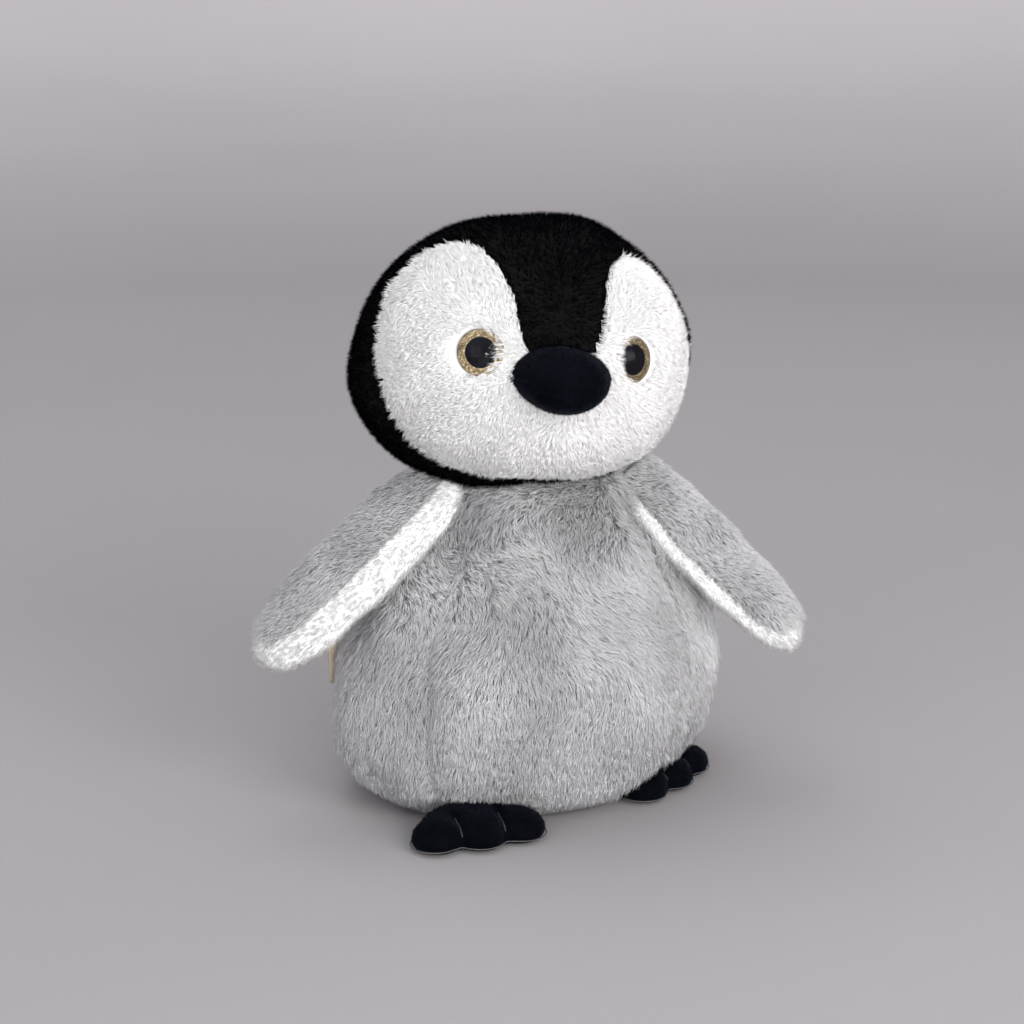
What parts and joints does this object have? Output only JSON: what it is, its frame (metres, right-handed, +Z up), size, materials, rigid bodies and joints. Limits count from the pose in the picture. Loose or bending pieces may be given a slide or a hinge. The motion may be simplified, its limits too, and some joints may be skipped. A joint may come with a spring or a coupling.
{
  "type": "plush penguin",
  "caption": "Stuffed penguin chick with a round black and white head, domed eyes, a grey fluffy body, jointed flippers and soft feet.",
  "frame": {"origin": "on the floor under the middle of the body, on the sewn-in base that the toy stands on", "axes": "+Z up, the belly faces -Y, the toy's own left is +X"},
  "size_m": [0.2447, 0.1598, 0.2618],
  "materials": {
    "grey_long_plush": "matte",
    "white_plush": "matte",
    "white_short_plush": "matte",
    "black_short_plush": "matte",
    "bill_velour": "matte",
    "foot_velour": "matte",
    "fibre_stuffing": "matte",
    "pouch_cloth": "matte",
    "pellets": "matte",
    "grey_thread": "matte",
    "black_thread": "matte",
    "label_tape": "matte",
    "eye_clear": "polished",
    "eye_glitter": "gloss",
    "eye_black": "gloss",
    "eye_washer": "matte"
  },
  "bodies": {
    "body": {"belly_panel": "grey_long_plush", "back_panel_left": "grey_long_plush", "back_panel_right": "grey_long_plush", "base_panel": "grey_long_plush", "body_stuffing": "fibre_stuffing", "pellet_pouch": "pouch_cloth", "pellet_fill": "pellets", "back_closing_stitches": "grey_thread", "care_label": "label_tape"},
    "neck_seam": {"neck_seam_thread": "black_thread"},
    "neck": {"neck_stuffing": "fibre_stuffing"},
    "head": {"head_stuffing": "fibre_stuffing", "beak_upper": "bill_velour", "beak_lower": "bill_velour", "beak_stuffing": "fibre_stuffing", "face_left": "white_plush", "head_cap_left": "black_short_plush", "eye_dome_left": "eye_clear", "eye_glitter_iris_left": "eye_glitter", "eye_pupil_left": "eye_black", "eye_shank_left": "eye_black", "eye_washer_left": "eye_washer", "face_right": "white_plush", "head_cap_right": "black_short_plush", "eye_dome_right": "eye_clear", "eye_glitter_iris_right": "eye_glitter", "eye_pupil_right": "eye_black", "eye_shank_right": "eye_black", "eye_washer_right": "eye_washer"},
    "flipper_left": {"flipper_left_outer": "grey_long_plush", "flipper_left_lining": "white_short_plush", "flipper_left_stuffing": "fibre_stuffing", "flipper_left_seam_thread": "grey_thread"},
    "foot_left": {"foot_left_upper": "foot_velour", "foot_left_sole": "foot_velour", "foot_left_stuffing": "fibre_stuffing", "foot_left_toe_stitches": "black_thread"},
    "flipper_right": {"flipper_right_outer": "grey_long_plush", "flipper_right_lining": "white_short_plush", "flipper_right_stuffing": "fibre_stuffing", "flipper_right_seam_thread": "grey_thread"},
    "foot_right": {"foot_right_upper": "foot_velour", "foot_right_sole": "foot_velour", "foot_right_stuffing": "fibre_stuffing", "foot_right_toe_stitches": "black_thread"}
  },
  "joints": [
    {"name": "head_turn", "type": "hinge", "parent": "body", "child": "neck_seam", "pos_m": [0, 0, 0.142], "axis": [0, 0, 1], "range_deg": [-15, 15], "stiffness_Nm_per_rad": 0.3},
    {"name": "head_tilt", "type": "hinge", "parent": "neck_seam", "child": "neck", "pos_m": [0, 0, 0.142], "axis": [0, 1, 0], "range_deg": [-4, 4], "stiffness_Nm_per_rad": 0.8},
    {"name": "head_nod", "type": "hinge", "parent": "neck", "child": "head", "pos_m": [0, 0, 0.142], "axis": [1, 0, 0], "range_deg": [-6, 6], "stiffness_Nm_per_rad": 0.8},
    {"name": "flipper_left_lift", "type": "hinge", "parent": "body", "child": "flipper_left", "pos_m": [0.049, -0.015, 0.139], "axis": [-0.6821, -0.7303, -0.0383], "range_deg": [-3, 50], "stiffness_Nm_per_rad": 0.08},
    {"name": "flipper_right_lift", "type": "hinge", "parent": "body", "child": "flipper_right", "pos_m": [-0.051, -0.005, 0.142], "axis": [-0.2857, 0.891, 0.3528], "range_deg": [-4, 50], "stiffness_Nm_per_rad": 0.08},
    {"name": "foot_left_flex", "type": "hinge", "parent": "body", "child": "foot_left", "pos_m": [0.041, -0.022, 0.0065], "axis": [-0.8572, -0.515, 0], "range_deg": [-8, 8], "stiffness_Nm_per_rad": 0.08},
    {"name": "foot_right_flex", "type": "hinge", "parent": "body", "child": "foot_right", "pos_m": [-0.051, -0.043, 0.0065], "axis": [-0.9925, 0.1219, 0], "range_deg": [-8, 8], "stiffness_Nm_per_rad": 0.08}
  ]
}
